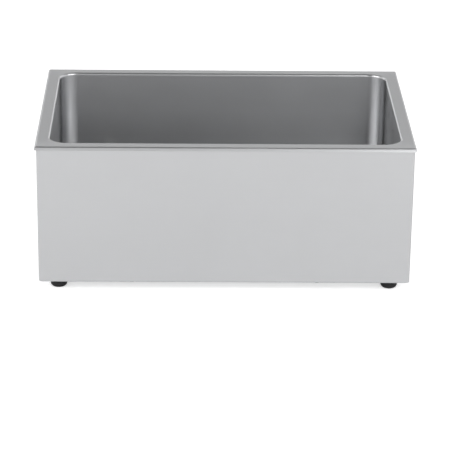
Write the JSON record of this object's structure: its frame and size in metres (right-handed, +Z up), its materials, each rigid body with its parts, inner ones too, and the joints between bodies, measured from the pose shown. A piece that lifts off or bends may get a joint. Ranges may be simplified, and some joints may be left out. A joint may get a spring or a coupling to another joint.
{
  "type": "bain marie food warmer",
  "caption": "Countertop electric wet-well food warmer: a deep rectangular well in a satin stainless casing on rubber feet, controls and drain valve behind.",
  "frame": {"origin": "on the bench, under the centre of the whole outline with the drain's hose tail", "axes": "+X to the right seen from the front, along the long side; -Y is the front; +Z up"},
  "size_m": [0.5558, 0.4236, 0.2283],
  "materials": {
    "brushed_steel": "satin brushed",
    "galvanised": "dull galvanised sheet",
    "zinc": "zinc plated",
    "steel_screws": "bright stainless",
    "black_rubber": "smooth moulded",
    "mineral_wool": "matt fibrous",
    "aluminium_plate": "rolled",
    "element_sheath": "heat-tinted sheath",
    "dark_phenolic": "moulded phenolic",
    "black_plastic": "semi-gloss moulded",
    "white_print": "smooth inlay",
    "dial_face": "satin with printed marks",
    "copper_bulb": "drawn copper",
    "red_plastic": "gloss moulded",
    "red_rocker": "translucent gloss",
    "red_lens": "clear tinted lens",
    "orange_lens": "clear tinted lens",
    "brass_plated": "tin plated",
    "cream_plastic": "moulded",
    "brass_stud": "turned",
    "brass_fitting": "cast and machined",
    "wire_sheath": "heat-resistant sheath",
    "turned_steel": "turned",
    "silicone": "matt silicone",
    "plated_valve": "nickel plated",
    "white_seat": "smooth",
    "polished_ball": "polished",
    "zinc_lever": "zinc plated strap",
    "red_grip": "dipped sleeve"
  },
  "bodies": {
    "warmer": {"well_tank": "brushed_steel", "outer_casing": "brushed_steel", "rear_panel": "brushed_steel", "base_plate": "galvanised", "rim_fixings": "zinc", "rear_panel_screws": "steel_screws", "base_screws": "zinc", "foot_front_left": "black_rubber", "foot_front_right": "black_rubber", "foot_rear_left": "black_rubber", "foot_rear_right": "black_rubber", "foot_washers": "zinc", "foot_fixings": "zinc", "wall_insulation": "mineral_wool", "base_insulation": "mineral_wool", "controls_shield": "galvanised", "heat_spreader": "aluminium_plate", "heating_element": "element_sheath", "element_pins": "zinc", "clamp_bars": "galvanised", "clamp_fixings": "zinc", "thermostat_body": "dark_phenolic", "dial_plate": "dial_face", "thermostat_screws": "zinc", "sensing_bulb": "copper_bulb", "bulb_clips": "steel_screws", "cutout_body": "dark_phenolic", "cutout_nut": "zinc", "switch_housing": "black_plastic", "lamp_housings": "black_plastic", "power_lamp_lens": "red_lens", "heating_lamp_lens": "orange_lens", "appliance_inlet": "black_plastic", "inlet_pins": "brass_plated", "inlet_fixings": "zinc", "spade_terminals": "brass_plated", "terminal_block": "cream_plastic", "earth_stud": "brass_stud", "wiring": "wire_sheath", "drain_fitting": "turned_steel", "drain_gasket": "silicone", "drain_locknut": "brass_stud", "drain_elbow": "brass_fitting", "drain_pipe": "turned_steel", "drain_grommet": "black_rubber", "valve_body": "plated_valve", "valve_seats": "white_seat", "packing_nut": "brass_stud", "hose_tail": "plated_valve"},
    "control_knob": {"thermostat_knob": "black_plastic", "thermostat_shaft": "zinc", "knob_pointer": "white_print"},
    "rocker": {"switch_rocker": "red_rocker"},
    "drain_handle": {"drain_lever": "zinc_lever", "lever_nut": "zinc", "lever_grip": "red_grip", "valve_stem": "turned_steel", "valve_ball": "polished_ball"},
    "reset_plunger": {"reset_button": "red_plastic"},
    "strainer": {"drain_strainer": "turned_steel"}
  },
  "joints": [
    {"name": "knob_turn", "type": "hinge", "parent": "warmer", "child": "control_knob", "pos_m": [0.1768, 0.14683, 0.0445], "axis": [0, -1, 0], "range_deg": [0, 270]},
    {"name": "rocker_tip", "type": "hinge", "parent": "warmer", "child": "rocker", "pos_m": [0.0868, 0.14683, 0.0445], "axis": [1, 0, 0], "range_deg": [0, 20]},
    {"name": "drain_turn", "type": "hinge", "parent": "warmer", "child": "drain_handle", "pos_m": [-0.1928, 0.17283, 0.0443], "axis": [0, 0, 1], "range_deg": [0, 90]},
    {"name": "reset_press", "type": "slide", "parent": "warmer", "child": "reset_plunger", "axis": [0, -1, 0], "range_m": [0, 0.0025], "stiffness_N_per_m": 500},
    {"name": "strainer_lift", "type": "slide", "parent": "warmer", "child": "strainer", "axis": [0, 0, 1], "range_m": [0, 0.15]}
  ]
}
